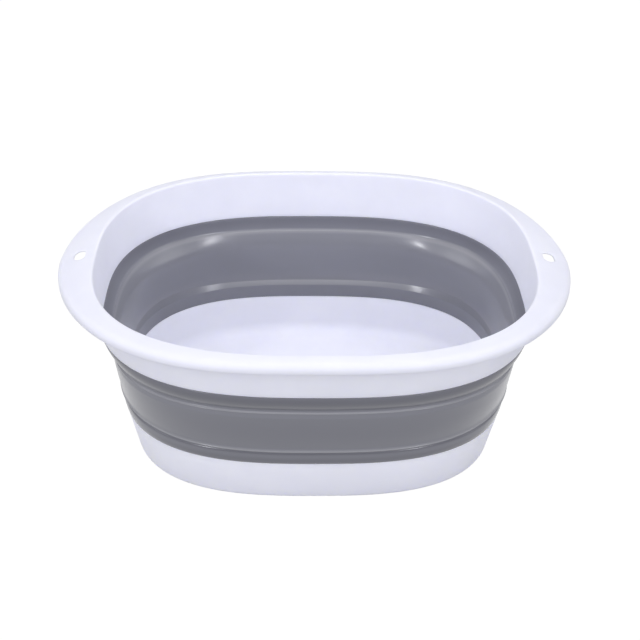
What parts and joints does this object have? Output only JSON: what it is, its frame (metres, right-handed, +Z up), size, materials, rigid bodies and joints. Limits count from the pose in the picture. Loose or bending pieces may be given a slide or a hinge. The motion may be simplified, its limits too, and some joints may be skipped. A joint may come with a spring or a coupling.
{
  "type": "collapsible camp washbasin",
  "caption": "Oval collapsible washbasin: stiff tray and rim with hand grips, joined by a soft wall that folds flat when the rim is pushed down.",
  "frame": {"origin": "middle of the tray's foot, on the table", "axes": "+X along the basin towards one grip, +Y across it, +Z up"},
  "size_m": [0.42, 0.303, 0.1637],
  "materials": {
    "white_plastic": "satin moulded polypropylene",
    "grey_elastomer": "semi-gloss moulded thermoplastic elastomer"
  },
  "bodies": {
    "base": {"base_tray": "white_plastic", "lower_collar": "grey_elastomer"},
    "band": {"folding_band": "grey_elastomer"},
    "rim": {"rim_frame": "white_plastic", "upper_collar": "grey_elastomer"}
  },
  "joints": [
    {"name": "rim_push_down", "type": "slide", "parent": "base", "child": "rim", "axis": [0, 0, -1], "range_m": [0, 0.103]},
    {"name": "band_turn_over", "type": "slide", "parent": "base", "child": "band", "axis": [0, 0, -1], "range_m": [0, 0.0515]}
  ],
  "couplings": [
    {"joint": "band_turn_over", "follows": "rim_push_down", "ratio": 0.5}
  ]
}
